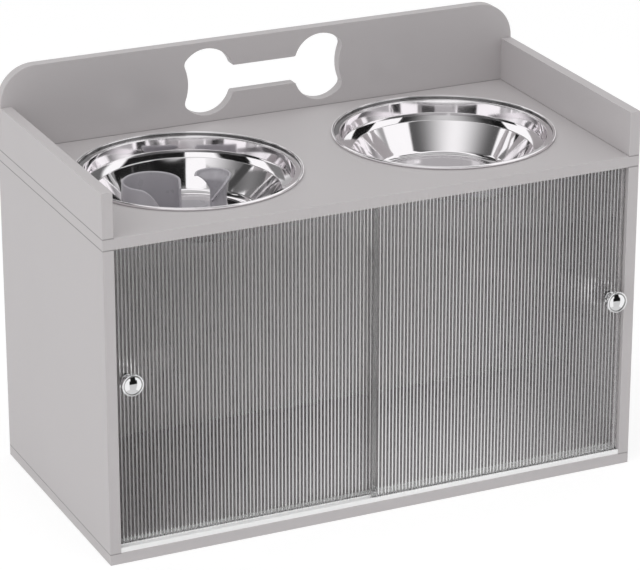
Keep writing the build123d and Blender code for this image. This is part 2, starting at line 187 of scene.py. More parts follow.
def add_node(tree, kind, values=None, **settings):
    """A node with its settings and, by socket name or number, what feeds its sockets."""
    node = tree.nodes.new(kind)
    for key, value in settings.items():
        setattr(node, key, value)
    for key, value in (values or {}).items():
        feed(tree, value, node.inputs[key])
    return node


def calculate(tree, operation, *values):
    """The number that an operation makes of values, each a number or a socket."""
    return add_node(tree, "ShaderNodeMath", dict(enumerate(values)), operation=operation).outputs[0]


def calculate_vector(tree, operation, *values):
    """The vector that an operation makes of values, each a vector or a socket."""
    node = add_node(tree, "ShaderNodeVectorMath", dict(enumerate(values)), operation=operation)
    return node.outputs["Vector"]


def parts_of(tree, vector):
    """The x, y and z of a vector, as sockets by name."""
    return add_node(tree, "ShaderNodeSeparateXYZ", {"Vector": vector}).outputs


def object_place(tree, scale=(1, 1, 1)):
    """Object coordinates, stretched by a scale along each axis."""
    where = add_node(tree, "ShaderNodeTexCoord").outputs["Object"]
    return add_node(tree, "ShaderNodeMapping", {"Vector": where, "Scale": scale}).outputs["Vector"]


def noise(tree, where, scale, detail=3.0, roughness=0.5):
    """Noise from 0 to 1; scale is in waves per metre."""
    values = {"Vector": where, "Scale": scale, "Detail": detail, "Roughness": roughness}
    return add_node(tree, "ShaderNodeTexNoise", values).outputs["Fac"]


def spread(tree, source, low, high, start=0.0, end=1.0, kind="LINEAR"):
    """Maps a value from start..end to low..high."""
    values = {"Value": source, "From Min": start, "From Max": end, "To Min": low, "To Max": high}
    return add_node(tree, "ShaderNodeMapRange", values, interpolation_type=kind).outputs["Result"]


def either_side(tree, source, middle, by):
    """Maps 0..1 to a range that lies round a middle."""
    return spread(tree, source, middle - by, middle + by)


def two_tones(tree, share, first, second):
    """A colour that goes from the first to the second, each a colour or a socket, as share grows."""
    made = add_node(tree, "ShaderNodeMix", {"Factor": share}, data_type="RGBA")
    colours = [socket for socket in made.inputs if socket.type == "RGBA"]
    feed(tree, first, colours[0])
    feed(tree, second, colours[1])
    return next(socket for socket in made.outputs if socket.type == "RGBA")


def shade(colour, amount):
    """A colour made lighter or darker by a share."""
    return tuple(min(1.0, part * (1 + amount)) for part in colour)


def wander(tree, share, colour, amount):
    """A colour that wanders by an amount, from darker to lighter."""
    return two_tones(tree, share, shade(colour, -amount), shade(colour, amount))


def bump(tree, shader, height, distance, strength):
    """Fine relief on a shader; distance is in metres."""
    values = {"Height": height, "Strength": strength, "Distance": distance}
    feed(tree, add_node(tree, "ShaderNodeBump", values).outputs["Normal"], shader.inputs["Normal"])


def blend(tree, share, first, second):
    """A shader that goes from the first to the second as share goes from 0 to 1."""
    return add_node(tree, "ShaderNodeMixShader", {"Fac": share, 1: first, 2: second}).outputs["Shader"]


def clear_shader(tree, colour=(1, 1, 1)):
    """Lets light straight through."""
    return add_node(tree, "ShaderNodeBsdfTransparent", {"Color": colour}).outputs["BSDF"]


def glow_shader(tree, colour, strength=1.0):
    """Gives light of its own."""
    values = {"Color": colour, "Strength": strength}
    return add_node(tree, "ShaderNodeEmission", values).outputs["Emission"]


def show(tree, surface):
    """Sends a shader to a material's output."""
    feed(tree, surface, tree.nodes["Material Output"].inputs["Surface"])


def seen_rays(tree):
    """1 for what the camera sees, straight, mirrored or through glass; 0 for light on other things."""
    path = add_node(tree, "ShaderNodeLightPath").outputs
    aside = calculate(tree, "MAXIMUM", path["Is Glossy Ray"], path["Is Transmission Ray"])
    return calculate(tree, "MAXIMUM", path["Is Camera Ray"], aside)


# ---- Settings ----
def length(name, description, default, least, most):
    """A length in millimetres, which is how Blender shows its camera unit."""
    return FloatProperty(
        name=name, description=description, default=default, min=least, max=most, unit="CAMERA"
    )


def portion(name, description, default):
    """A share from 0 to 1."""
    return FloatProperty(
        name=name, description=description, default=default, min=0, max=1, subtype="FACTOR"
    )


def power(name, description, default):
    """A lamp's power in watts."""
    return FloatProperty(
        name=name, description=description, default=default, min=0, max=500, unit="POWER"
    )


def colour(name, description, default):
    """A colour in linear light."""
    return FloatVectorProperty(
        name=name, description=description, default=default, size=3, min=0, max=1, subtype="COLOR"
    )


def count(name, description, default, least, most):
    """A whole number."""
    return IntProperty(name=name, description=description, default=default, min=least, max=most)


class FeederBoards(bpy.types.PropertyGroup):
    """Finish of the laminated boards and of the hardboard back."""

    laminate: colour("Laminate", "Colour of the laminated boards", (0.515, 0.491, 0.497))
    mottle: portion("Mottle", "How far the laminate's tone wanders", 0.02)
    seam: portion("Seam", "How much darker the joints between boards are", 0.45)
    roughness: portion("Roughness", "Roughness of the laminate", 0.46)
    back: colour("Back", "Colour of the back panel", (0.50, 0.478, 0.484))


class FeederDoors(bpy.types.PropertyGroup):
    """Sizes and tint of the two fluted doors."""

    pitch: length("Pitch", "Flute to flute", 4.0, 2, 12)
    height: length("Flute", "Height of a flute", 1.2, 0.2, 3)
    margin: length("Margin", "Least plain strip beside the flutes", 4.0, 0, 20)
    edge: length("Edge", "Polished chamfer", 0.25, 0.05, 0.5)
    steps: count("Steps", "Facets across a flute", 12, 4, 32)
    tint: colour("Tint", "What the acrylic lets through", (0.93, 0.93, 0.93))
    roughness: portion("Roughness", "Roughness of the acrylic", 0.03)


class FeederBowls(bpy.types.PropertyGroup):
    """Sizes of the two stepped bowls, and their steel."""

    sheet: length("Sheet", "Steel thickness", 0.8, 0.3, 2)
    rim: length("Rim", "Outer radius of the bead", 119.5, 60, 200)
    bead: length("Bead", "Radius of the bead's section", 1.7, 0.5, 5)
    mouth: length("Mouth", "Inner radius at the top", 110.0, 50, 190)
    band_foot: length("Band foot", "Inner radius at the foot of the band", 107.5, 50, 190)
    band_drop: length("Band drop", "Flange to band foot", 14.3, 2, 40)
    ledge: length("Ledge", "Inner radius at the ledge's inner edge", 96.5, 40, 180)
    ledge_drop: length("Ledge drop", "Fall of the ledge", 5.0, 0, 20)
    foot: length("Foot", "Radius where wall meets floor", 77.5, 20, 150)
    depth: length("Depth", "Flange to the inner floor", 52.8, 20, 120)
    bend: length("Bend", "Tightest bend in the sheet", 0.7, 0.5, 5)
    floor_bend: length("Floor bend", "Bend between wall and floor", 10.0, 2, 30)
    steel: colour("Steel", "Colour of the polished steel", (0.96, 0.935, 0.955))
    # Painted shade: the dark colour painted into the steel along the crease between bead and flange.
    shaded_crease: colour("Crease", "Colour of the line between bead and flange", (0.2, 0.2, 0.2))
    roughness: portion("Roughness", "Roughness of the polish", 0.06)


class FeederInsert(bpy.types.PropertyGroup):
    """The curled ribs on a round plate that slow down eating."""

    plate: length("Plate", "Thickness of the plate", 3.0, 1, 8)
    plate_radius: length("Plate radius", "Radius of the plate", 50.0, 20, 100)
    wall: length("Wall", "Thickness of the ribs", 2.6, 1, 8)
    draft: portion("Draft", "How much wider a rib is at its foot", 0.15)
    flare: length("Flare", "Fillet at the foot of the ribs", 1.5, 0.2, 5)
    sunk: length("Sunk", "Depth of the ribs in the plate", 0.5, 0.1, 2)
    rib_steps: count("Steps", "Stations along a rib", 72, 12, 200)
    rib_levels: count("Levels", "Levels up a rib", 36, 8, 200)
    plastic: colour("Plastic", "Colour of the insert", (0.43, 0.415, 0.445))
    roughness: portion("Roughness", "Roughness of the insert", 0.28)


class FeederKnobs(bpy.types.PropertyGroup):
    """Sizes of the door knobs, and their chrome."""

    radius: length("Radius", "Outer radius", 11.5, 4, 30)
    reach: length("Reach", "Door to the rim's crest", 16.0, 5, 40)
    head: length("Head", "Thickness of the head at its rim", 4.5, 1, 12)
    under: length("Under", "Rise of the head from stem to rim", 1.0, 0, 5)
    rim: length("Rim", "Width of the rolled rim", 1.6, 0.5, 4)
    groove: length("Groove", "Depth of the groove", 0.8, 0.1, 2)
    dome: length("Dome", "Height of the face over the rim", 0.9, 0, 4)
    stem: length("Stem", "Radius of the stem", 4.5, 1, 10)
    foot: length("Foot", "Radius of the foot", 7.0, 2, 20)
    foot_rise: length("Foot rise", "Thickness of the foot", 1.5, 0.5, 5)
    foot_slope: length("Foot slope", "Rise from the foot to the stem", 1.0, 0, 5)
    chrome: colour("Chrome", "Colour of the plating", (0.86, 0.86, 0.87))
    # Painted shade: the dark colour painted into the chrome along the groove inside the rim.
    line: colour("Line", "Colour of the groove inside the rim", (0.3, 0.3, 0.3))


class FeederStage(bpy.types.PropertyGroup):
    """Floor, lamps and camera."""

    floor: colour("Floor", "Colour of the floor", (0.9, 0.9, 0.9))
    ambient: portion("Ambient", "Even light from all round", 0.67)
    key: power("Key", "Power of the high left lamp", 12.4)
    side: power("Side", "Power of the left lamp", 6.6)
    top: power("Top", "Power of the overhead lamp", 10.4)
    low: power("Low", "Power of the low front lamp", 1.1)
    card_left: portion("Card left", "Left tone of the front card", 0.13)
    card_middle: portion("Card middle", "Its middle tone", 0.7)
    card_bright: portion("Card bright", "Its brightest tone", 0.83)
    card_right: portion("Card right", "Its right tone", 0.38)
    lens: length("Lens", "Focal length", 182.2, 20, 400)


# ---- Materials ----
# Noise scales are in waves per metre, and the distances of bumps in metres.
def seam_lines(tree, where):
    """1 beside the joints between the boards on their upright faces, 0 away from them.

    The joints lie level: above the bottom board, and under and above the top board. They count only
    outwards of the guards' inner faces and behind the splash board's front."""
    margin, solid, clear = 0.5 * MM, 0.3 * MM, 0.9 * MM
    place = parts_of(tree, where)
    bottom, (low, high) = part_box("bottom_board")[1][2], (corner[2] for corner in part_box("top_board"))
    off_middle = calculate(tree, "ABSOLUTE", calculate(tree, "SUBTRACT", place["Z"], (low + high) / 2))
    off_faces = calculate(tree, "ABSOLUTE", calculate(tree, "SUBTRACT", off_middle, (high - low) / 2))
    off_bottom = calculate(tree, "ABSOLUTE", calculate(tree, "SUBTRACT", place["Z"], bottom))
    near = spread(tree, calculate(tree, "MINIMUM", off_faces, off_bottom), 1.0, 0.0, solid, clear)
    inside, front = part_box("right_guard")[0][0] - margin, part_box("splash_board")[0][1] - margin
    at_side = calculate(tree, "GREATER_THAN", calculate(tree, "ABSOLUTE", place["X"]), inside)
    at_back = calculate(tree, "GREATER_THAN", place["Y"], front)
    joined = calculate(tree, "MAXIMUM", at_side, at_back)
    normal = add_node(tree, "ShaderNodeTexCoord").outputs["Normal"]
    level = calculate(tree, "ABSOLUTE", parts_of(tree, normal)["Z"])
    upright = spread(tree, level, 1.0, 0.0, 0.8, 0.95)
    return calculate(tree, "MULTIPLY", calculate(tree, "MULTIPLY", near, joined), upright)


def laminate(settings):
    """Matt laminate: a tone that wanders slightly, joints, and the fine pebbled skin of melamine."""
    made, tree, shader = new_material("grey_laminate")
    where = object_place(tree)
    clouds = noise(tree, where, scale=9.0, detail=4.0)
    clean = wander(tree, clouds, settings.laminate, settings.mottle)
    dark = shade(settings.laminate, -settings.seam)
    feed(tree, two_tones(tree, seam_lines(tree, where), clean, dark), shader.inputs["Base Color"])
    fine = noise(tree, where, scale=420.0, detail=2.0)
    feed(tree, either_side(tree, fine, settings.roughness, 0.06), shader.inputs["Roughness"])
    skin = noise(tree, where, scale=900.0, detail=2.0)
    bump(tree, shader, skin, distance=0.00004, strength=0.5)
    return made


def hardboard(settings):
    """Painted hardboard: faint felted fibres over an even grey."""
    made, tree, shader = new_material("painted_hardboard")
    fibres = noise(tree, object_place(tree, (1, 1, 0.35)), scale=260.0, detail=5.0, roughness=0.65)
    feed(tree, wander(tree, fibres, settings.back, 0.05), shader.inputs["Base Color"])
    shader.inputs["Roughness"].default_value = 0.62
    bump(tree, shader, fibres, distance=0.00012, strength=0.6)
    return made


def acrylic(settings):
    """Clear acrylic that lets lamps through, with faint draw lines along the flutes."""
    made, tree, shader = new_material("clear_acrylic")
    feed(tree, settings.tint, shader.inputs["Base Color"])
    shader.inputs["Transmission Weight"].default_value = 1.0
    shader.inputs["IOR"].default_value = 1.49
    drawn = noise(tree, object_place(tree, (1, 1, 0.02)), scale=700.0, detail=2.0)
    rough = either_side(tree, drawn, settings.roughness, settings.roughness * 0.5)
    feed(tree, rough, shader.inputs["Roughness"])
    shadow = add_node(tree, "ShaderNodeLightPath").outputs["Is Shadow Ray"]
    show(tree, blend(tree, shadow, shader.outputs["BSDF"], clear_shader(tree, settings.tint)))
    return made


def ring_line(tree, where, place, across, radius, solid, clear):
    """A ring round the two axes at place and at its mirror image: 1 beside the ring, 0 away from it.

    It is full up to solid from the ring and gone past clear. across has 1 for the two directions across
    the axis and 0 for the one along it. Each part of place is 0 or more than the radius."""
    folded = calculate_vector(tree, "ABSOLUTE", where)
    away = calculate_vector(tree, "SUBTRACT", folded, place)
    flat = calculate_vector(tree, "MULTIPLY", away, across)
    distance = add_node(tree, "ShaderNodeVectorMath", {0: flat}, operation="LENGTH").outputs["Value"]
    off = calculate(tree, "ABSOLUTE", calculate(tree, "SUBTRACT", distance, radius * MM))
    return spread(tree, off, 1.0, 0.0, solid * MM, clear * MM)


def polished_steel(settings):
    """Spun and polished steel: bright, with a trace of the polishing wheel, and a painted shade ring in
    the crease between bead and flange.
    """
    made, tree, shader = new_material("polished_steel")
    shader.inputs["Metallic"].default_value = 1.0
    where = object_place(tree)
    haze = noise(tree, where, scale=60.0, detail=4.0)
    clean = wander(tree, haze, settings.steel, 0.02)
    x, y, _ = middle_of("right_bowl")
    # Painted shade: the steel's colour turns dark in a thin ring at the crease between bead and flange.
    shaded_crease = settings.rim - 2 * settings.bead
    line = ring_line(tree, where, (x, y, 0), (1, 1, 0), shaded_crease, solid=0.1, clear=0.3)
    feed(tree, two_tones(tree, line, clean, settings.shaded_crease), shader.inputs["Base Color"])
    rough = either_side(tree, haze, settings.roughness, settings.roughness * 0.3)
    feed(tree, rough, shader.inputs["Roughness"])
    return made


def chrome(settings):
    """Chrome plating with the faintest haze, and painted shade: the plating's colour darkened in the
    groove inside the rim.
    """
    made, tree, shader = new_material("knob_chrome_plate")
    shader.inputs["Metallic"].default_value = 1.0
    where = object_place(tree)
    x, _, z = middle_of("right_knob")
    # Painted shade: a dark ring painted into the plating's colour along the groove.
    groove = settings.radius - settings.rim - settings.groove / 2
    line = ring_line(tree, where, (x, 0, z), (1, 0, 1), groove, solid=0.25, clear=0.6)
    feed(tree, two_tones(tree, line, settings.chrome, settings.line), shader.inputs["Base Color"])
    haze = noise(tree, where, scale=500.0, detail=2.0)
    feed(tree, spread(tree, haze, 0.02, 0.06), shader.inputs["Roughness"])
    return made


def insert_plastic(settings):
    """Satin moulded plastic."""
    made, tree, shader = new_material("satin_insert")
    where = object_place(tree)
    cloud = noise(tree, where, scale=45.0, detail=3.0)
    feed(tree, wander(tree, cloud, settings.plastic, 0.04), shader.inputs["Base Color"])
    feed(tree, either_side(tree, cloud, settings.roughness, 0.04), shader.inputs["Roughness"])
    skin = noise(tree, where, scale=1500.0, detail=2.0)
    bump(tree, shader, skin, distance=0.00002, strength=0.4)
    return made


def grained(name, dark, light, grain, roughness, distance, strength):
    """A dull material whose tone and relief follow one grain: its stretch, its scale and its detail."""
    made, tree, shader = new_material(name)
    stretch, scale, detail = grain
    lines = noise(tree, object_place(tree, stretch), scale, detail)
    feed(tree, two_tones(tree, lines, dark, light), shader.inputs["Base Color"])
    shader.inputs["Roughness"].default_value = roughness
    bump(tree, shader, lines, distance, strength)
    return made


def white_plastic():
    """Extruded track plastic with faint lines along its length."""
    grain = ((0.02, 1, 1), 900.0, 3.0)
    return grained("track_white_plastic", (0.92,) * 3, (0.96,) * 3, grain, 0.32, 0.00002, 0.4)


def beech():
    """Pale dowel wood with grain along the pin."""
    grain = ((1, 1, 0.08), 900.0, 4.0)
    return grained("dowel_beech", (0.44, 0.27, 0.13), (0.60, 0.42, 0.24), grain, 0.6, 0.00003, 0.6)


def rubber():
    """Dark washer rubber."""
    grain = ((1, 1, 1), 1200.0, 2.0)
    return grained("washer_rubber_black", (0.02,) * 3, (0.035,) * 3, grain, 0.7, 0.00003, 0.5)


def plated_metal(name, grey, roughness):
    """Zinc-plated small metal with a grain of crystals."""
    made, tree, shader = new_material(name)
    shader.inputs["Metallic"].default_value = 1.0
    grain = noise(tree, object_place(tree), scale=1400.0, detail=3.0)
    tones = two_tones(tree, grain, shade(grey, -0.12), shade(grey, 0.08))
    feed(tree, tones, shader.inputs["Base Color"])
    feed(tree, spread(tree, grain, roughness - 0.08, roughness + 0.12), shader.inputs["Roughness"])
    return made


def dress(nodes, material):
    """Gives CAD nodes a material in every slot they have."""
    for name in nodes:
        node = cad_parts[name]
        if not node.material_slots:
            raise RuntimeError(f"{name} has no material slot")
        for place in node.material_slots:
            place.material = material


def finish_piece(piece, material, body, node):
    """A new piece's material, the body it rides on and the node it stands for."""
    piece.data.materials.append(material)
    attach(piece, body)
    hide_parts(node)


# ---- Doors ----
def fluted_front(width, settings):
    """x and y across a door's front: flutes side by side, and plain strips beside them.

    Each flute is y = h (1 - cos(2 pi x / pitch)) / 2, with x from its middle."""
    flutes = int((width - 2 * settings.margin) / settings.pitch)
    share = np.linspace(-0.5, 0.5, settings.steps + 1)[:-1]
    middles = (np.arange(flutes) - (flutes - 1) / 2) * settings.pitch
    x = (middles[:, None] + share * settings.pitch).ravel()
    y = np.tile(settings.height * (1 - np.cos(FULL_TURN * share)) / 2, flutes)
    last = middles[-1] + settings.pitch / 2
    half, edge, high = width / 2, settings.edge, settings.height
    x = np.concatenate([[-half, edge - half], x, [last, half - edge, half]])
    y = np.concatenate([[high + edge, high], y, [high, high, high + edge]])
    return x, y


def fluted_door(name, low, high, settings):
    """A slab between two corners: a fluted front, a plain back, and chamfered edges all round.

    Each column of points runs round the slab: front foot, front top, back top, back foot."""
    x, y = fluted_front(high[0] - low[0], settings)
    x = x + (low[0] + high[0]) / 2
    y = y + low[1]
    edge, foot, top = settings.edge, low[2], high[2]
    back = np.full_like(x, high[1])
    back[[0, -1]] -= edge
    loop = [
        (x, y, foot + edge),
        (x, y, top - edge),
        (x, y + edge, top),
        (x, back - edge, top),
        (x, back, top - edge),
        (x, back, foot + edge),
        (x, back - edge, foot),
        (x, y + edge, foot),
    ]
    points = np.stack([np.stack(np.broadcast_arrays(*row), axis=-1) for row in loop], axis=1)
    columns = len(loop)
    walls = grid_faces(len(x), columns, close_columns=True)
    ends = np.array([np.arange(columns), np.arange(columns)[::-1] + (len(x) - 1) * columns])
    return mesh_object(name, (points.reshape(-1, 3), [walls[:, ::-1], ends]))


# ---- Bowls ----
# Steps round a bowl, points round its bead's section and steps in each bend of its sheet.
BOWL_STEPS, BEAD_POINTS, BOWL_BEND_STEPS = 288, 28, 8


def offset_path(corners, distance):
    """The same path, shifted to its left-hand side by a distance, with its corners mitred."""
    runs = np.diff(corners, axis=0)
    runs /= np.linalg.norm(runs, axis=1, keepdims=True)
    sides = np.stack([-runs[:, 1], runs[:, 0]], axis=-1)
    before = np.concatenate([sides[:1], sides])
    after = np.concatenate([sides, sides[-1:]])
    both = before + after
    both /= np.linalg.norm(both, axis=1, keepdims=True)
    return corners + both * (distance / np.sum(both * before, axis=1, keepdims=True))


def bowl_profile(s):
    """Section of a stepped bowl from the axis under the outside, round the bead and over the inside."""
    corners = np.array(
        [
            (s.rim - s.bead, s.sheet),
            (s.mouth, s.sheet),
            (s.band_foot, s.sheet - s.band_drop),
            (s.ledge, s.sheet - s.band_drop - s.ledge_drop),
            (s.foot, s.sheet - s.depth),
            (0, s.sheet - s.depth),
        ]
    )
    wide = s.bend + s.sheet
    inner = bent_path(corners, (wide, s.bend, wide, s.floor_bend), BOWL_BEND_STEPS)
    under = offset_path(corners, s.sheet)
    outer = bent_path(under, (s.bend, wide, s.bend, s.floor_bend + s.sheet), BOWL_BEND_STEPS)
    leave = math.asin((s.bead - s.sheet) / s.bead)
    turn = np.linspace(math.pi + leave, -math.pi / 2, BEAD_POINTS)
    middle = np.array([s.rim - s.bead, s.bead])
    bead = middle + s.bead * np.stack([np.cos(turn), np.sin(turn)], axis=-1)
    return np.concatenate([inner[::-1][:-1], bead, outer[1:]])[::-1]


# ---- Slow feeder insert ----
# Steps round the plate, and steps in each bend of its edge.
PLATE_STEPS, PLATE_BEND_STEPS = 128, 6
# Bends at the plate's lower and upper edge.
PLATE_BENDS = (0.3, 1.2)
# Points round each half-round end of a rib, between its two walls.
END_POINTS = 7
# A rib's foot sweeps out over its first levels, and its top is a dome over its last ones.
FLARE_LEVELS, DOME_LEVELS = 6, 7
DOME_END = math.radians(84)
# Each rib is an arc round a centre on the plate. It runs from start to end, in degrees, and at the top
# its last end lies further on by reach. lip is how much the foot's radius falls short of the top's. Each
# fall of the top goes from one angle to another by a drop, and its last number is the exponent.
LEFT_RIB = {
    "centre": (-38.0, 8.0),
    "radius": 29.5,
    "lip": 0.0,
    "start": -22.0,
    "end": 265.0,
    "reach": 0.0,
    "falls": ((0, -22, 8, 5), (225, 265, 19, 2)),
}
RIGHT_RIB = {
    "centre": (28.0, 2.0),
    "radius": 18.0,
    "lip": 5.0,
    "start": -115.0,
    "end": 74.0,
    "reach": 75.0,
    "falls": ((-20, -115, 21, 2), (130, 149, 2, 2)),
}
# Where up a rib its last end starts to lie further on, the exponent of that, and where its lip starts.
REACH_FROM, REACH_EXPONENT, LIP_FROM = 0.4, 1.75, 0.74


def rib_levels(settings):
    """Per level of a rib: its share of the wall's height, what widens it, and what lifts it."""
    half = settings.wall / 2
    flare = np.linspace(0, math.pi / 2, FLARE_LEVELS)
    dome = np.linspace(0, DOME_END, DOME_LEVELS + 1)[1:]
    rise = np.linspace(0, 1, settings.rib_levels)[1:]
    share = np.concatenate([np.zeros(FLARE_LEVELS + 1), rise, np.ones(DOME_LEVELS)])
    sweep = settings.flare * (1 - np.sin(flare))
    wider = np.concatenate([[settings.flare], sweep, 0 * rise, half * (np.cos(dome) - 1)])
    lift = settings.flare * (1 - np.cos(flare))
    higher = np.concatenate([[-settings.sunk], lift, 0 * rise, half * np.sin(dome)])
    return share, wider, higher


def rib_top(rib, angles, top):
    """Height of a rib's top at each angle: it falls towards each end as drop t^exponent."""
    for angle_from, angle_to, drop, exponent in rib["falls"]:
        gone = np.clip((angles - angle_from) / (angle_to - angle_from), 0, 1)
        top = top - drop * gone**exponent
    return top


def rib_outline(rib, angles, radius, width):
    """Outline of a rib at each level, p = centre + (r + n w)(cos a, sin a), with half-round ends.

    It runs along the outside, round the last end, back along the inside and round the first end."""
    turn = np.radians(angles)
    middle = np.stack([np.cos(turn), np.sin(turn)], axis=-1)
    forward = np.stack([-np.sin(turn), np.cos(turn)], axis=-1)
    spine = radius[:, None, None] * middle
    wide = width[:, None, None]
    around = np.linspace(0, math.pi, END_POINTS + 2)[1:-1]
    ends = []
    for index, sign in ((-1, 1), (0, -1)):
        side = middle[:, index, None] * np.cos(around)[:, None] * sign
        ahead = forward[:, index, None] * np.sin(around)[:, None] * sign
        ends.append(spine[:, index, None] + wide * (side + ahead))
    outer, inner = spine + wide * middle, (spine - wide * middle)[:, ::-1]
    return np.concatenate([outer, ends[0], inner, ends[1]], axis=1) + np.array(rib["centre"])


def curled_rib(rib, tall, settings):
    """An upright wall on an arc, whose outline changes with the level.

    The radius swells by a smooth step into a lip at the top, and the last angle grows as
    reach t^exponent, with t from 0 to 1 over the upper levels."""
    half = settings.wall / 2
    share, wider, higher = rib_levels(settings)
    out = np.clip((share - REACH_FROM) / (1 - REACH_FROM), 0, 1) ** REACH_EXPONENT
    end = (rib["end"] + rib["reach"] * out)[:, None]
    angles = rib["start"] + (end - rib["start"]) * np.linspace(0, 1, settings.rib_steps)
    top = rib_top(rib, angles, tall - half)
    base = settings.plate + settings.flare
    wall = base + (top - base) * share[:, None]
    height = np.where(share[:, None] > 0, wall, settings.plate) + higher[:, None]
    height[0] = settings.plate - settings.sunk
    lip = np.clip((share - LIP_FROM) / (1 - LIP_FROM), 0, 1)
    radius = rib["radius"] - rib["lip"] * (1 - lip * lip * (3 - 2 * lip))
    width = half * (1 + settings.draft * (1 - share)) + wider
    plan = rib_outline(rib, angles, radius, width)
    last, first = (np.repeat(edge, END_POINTS, 1) for edge in (height[:, -1:], height[:, :1]))
    z = np.concatenate([height, last, height[:, ::-1], first], axis=1)
    points = np.concatenate([plan, z[..., None]], axis=-1)
    return points.reshape(-1, 3), rib_faces(*z.shape, settings.rib_steps)


def rib_faces(levels, columns, stations):
    """Faces of a rib: its walls, and its closed top and foot.

    Each level runs along the outside, round one end, back along the inside and round the other."""
    walls = grid_faces(levels, columns, close_columns=True)[:, ::-1]
    station = np.arange(stations - 1)
    opposite = 2 * stations + END_POINTS - 1 - station
    across = np.stack([station, station + 1, opposite - 1, opposite], axis=-1)
    ring = np.append(np.arange(columns), 0)
    tips = np.array([ring[stations - 1 : stations + END_POINTS + 1], ring[-END_POINTS - 2 :]])
    lid = (levels - 1) * columns
    return [walls, across + lid, tips + lid, across[:, ::-1], tips[:, ::-1]]


def round_plate(settings):
    """Profile of the round plate: flat below, with a rounded upper edge."""
    radius, high = settings.plate_radius, settings.plate
    corners = [(0, 0), (radius, 0), (radius, high), (0, high)]
    return bent_path(corners, PLATE_BENDS, PLATE_BEND_STEPS)


# ---- Knobs ----
# Steps round a knob, steps in each bend of its section and points over its domed face.
KNOB_STEPS, KNOB_BEND_STEPS, DOME_POINTS = 96, 7, 20


def knob_profile(s):
    """Foot, stem, mushroom head with a rolled rim, a groove and a domed face.

    The face is z = top - (R - sqrt(R^2 - r^2)) for a ball of radius R."""
    crest = s.reach
    face = s.radius - s.rim
    dome_foot = face - s.groove
    rise = s.groove + s.dome
    ball = (dome_foot**2 + rise**2) / (2 * rise)
    half_rim = s.rim / 2
    # Radius, height and bend of each corner; the first and the last have no bend.
    corners = np.array(
        [
            (0, 0, 0),
            (s.foot, 0, 0.3),
            (s.foot, s.foot_rise, 0.5),
            (s.stem, s.foot_rise + s.foot_slope, 0.9),
            (s.stem, crest - s.head - s.under, 1.2),
            (s.radius, crest - s.head, 0.7),
            (s.radius, crest, half_rim),
            (face, crest, half_rim * 0.9),
            (face - s.groove / 2, crest - s.groove, 0.2),
            (dome_foot, crest - s.groove, 0),
        ]
    )
    lower = bent_path(corners[:, :2], corners[1:-1, 2], KNOB_BEND_STEPS)
    angle = np.linspace(math.asin(dome_foot / ball), 0, DOME_POINTS)[1:]
    top = crest + s.dome
    dome = np.stack([ball * np.sin(angle), top - ball + ball * np.cos(angle)], axis=-1)
    return np.concatenate([lower, dome])


# ---- Stage ----
# Cards that are seen only in reflections; wherever there is none, the white surroundings show. Each card
# is a patch of a sphere: far cards stand round the whole studio, and near ones round a bowl's mouth or a
# knob's face, inside what would hide the far ones. Azimuth runs from the back of the feeder towards its
# right. Each card has its azimuth from and to, its lower and upper edge at the first azimuth and at the
# last, all in degrees, then its tone at both sides and in its middle, and the width of its soft edges in
# degrees.
FAR_BOARDS = (
    (-94, -68, 10, 24, 10, 24, 0.04, 0.04, 5),
    (-31, 1, 8, 30, 8, 30, 0.20, 0.30, 4),
    (1, 57, 8, 30, 8, 30, 0.42, 0.52, 4),
    (57, 103, 8, 24, 8, 24, 0.02, 0.02, 4),
    (153, 186, 8, 24, 8, 24, 0.35, 0.55, 5),
    (186, 262, 8, 24, 8, 24, 0.40, 0.40, 5),
    (102, 117, 20, 31, 20, 31, 0.35, 0.35, 3),
    (150, 294, 24, 60, 24, 60, 0.10, 0.92, 4),
    (-75, 2, 48, 61, 48, 61, 0.01, 0.01, 1.5),
    (-62, -24, 38, 52, 38, 52, 0.01, 0.01, 1.5),
    (0, 360, 68, 90, 68, 90, 0.42, 0.42, 2),
)
KNOB_BOARDS = (
    (130, 195, -6, 22, -6, 22, 0.01, 0.01, 1),
    (138, 188, 20, 54, 20, 54, 0.01, 0.01, 1),
    (120, 200, -60, -7, -60, -7, 0.66, 0.66, 2),
    (60, 290, -85, -48, -85, -48, 0.7, 0.7, 2),
    (195, 290, -50, 75, -50, 75, 1.0, 1.0, 1.5),
    (60, 130, -50, 75, -50, 75, 1.0, 1.0, 1.5),
)
RIGHT_BOWL_BOARDS = (
    (-46, -15, 4, 11, 4, 11, 0.18, 0.18, 1),
    (-13, -7, 7, 14, 9, 15, 1.0, 1.0, 0.3),
    (-7.5, 1.5, 9, 15, 11, 17, 0.01, 0.01, 0.5),
    (1, 12, 11, 18, 12, 19, 1.0, 1.0, 0.5),
    (11.5, 44.5, 12, 21, 12, 21, 0.03, 0.60, 0.3),
    (44, 49.5, 12, 19, 12, 19, 0.01, 0.01, 0.5),
    (49, 60, 12, 18, 7, 13, 1.0, 1.0, 0.5),
    (-36, 2, 30, 41, 30, 41, 0.05, 0.05, 1.5),
    (-75, 125, 1, 3.6, 1, 3.6, 1.0, 1.0, 0.3),
    (2, 50, 24, 33, 24, 33, 0.1, 0.1, 1.5),
    (2, 48, 34, 60, 34, 60, 0.42, 0.42, 1.5),
    (50, 72, 38, 60, 38, 60, 0.04, 0.04, 2),
    (-5, 55, 43, 52, 43, 52, 0.65, 0.65, 1.5),
)
